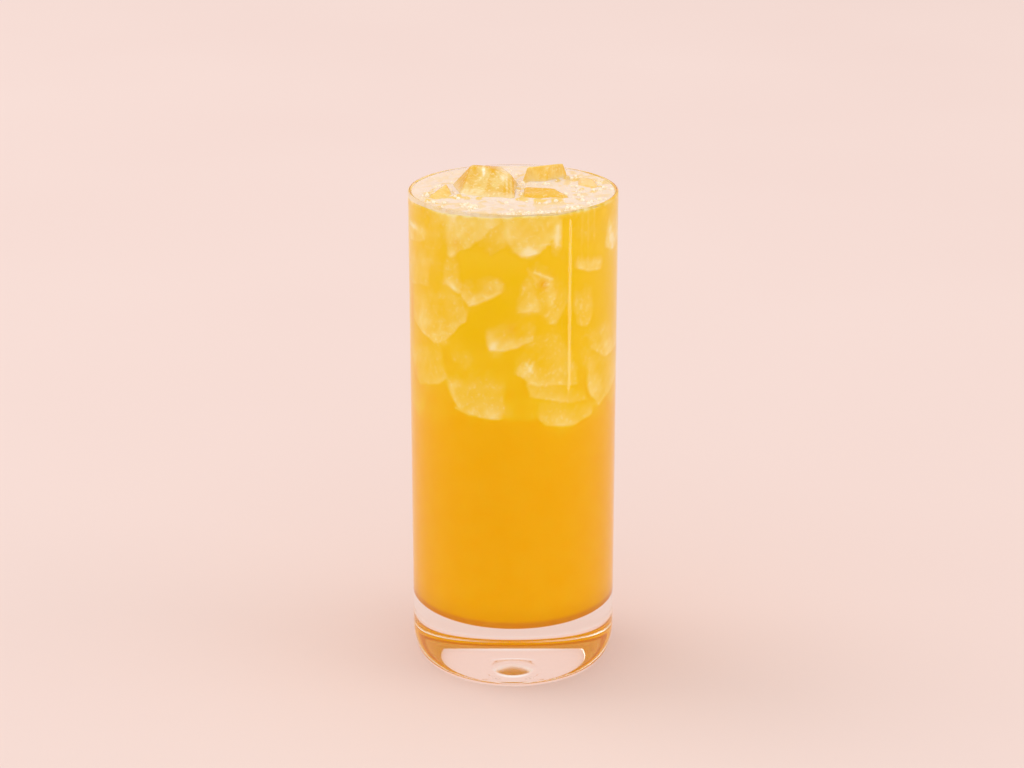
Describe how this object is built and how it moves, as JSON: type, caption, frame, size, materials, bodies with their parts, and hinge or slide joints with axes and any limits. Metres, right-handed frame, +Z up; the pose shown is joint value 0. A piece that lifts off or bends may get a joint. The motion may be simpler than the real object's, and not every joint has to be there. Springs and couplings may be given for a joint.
{
  "type": "iced pineapple fruit tea",
  "caption": "Iced pineapple fruit tea in a straight clear tumbler with a thick rounded base, filled to the rim, with pale foam and broken ice standing up out of it",
  "frame": {"origin": "middle of the underside of the tumbler, on the surface that it stands on", "axes": "+Z up along the tumbler's axis, -Y towards the viewer of the picture, +X to the viewer's right"},
  "size_m": [0.0626, 0.0626, 0.1562],
  "materials": {
    "clear_glass": "clear polished glass, smooth and colourless",
    "juice_tea": "cloudy orange-yellow juice tea, wet and glossy, lighter over the ice near the top",
    "pale_foam": "pale cream foam with small bubbles",
    "tinted_ice": "wet broken ice coated with yellow juice"
  },
  "bodies": {
    "root": {"glass": "clear_glass", "drink": "juice_tea", "foam": "pale_foam", "ice_peak": "tinted_ice", "ice_back": "tinted_ice", "ice_left": "tinted_ice", "ice_low": "tinted_ice", "ice_right": "tinted_ice"}
  },
  "joints": []
}
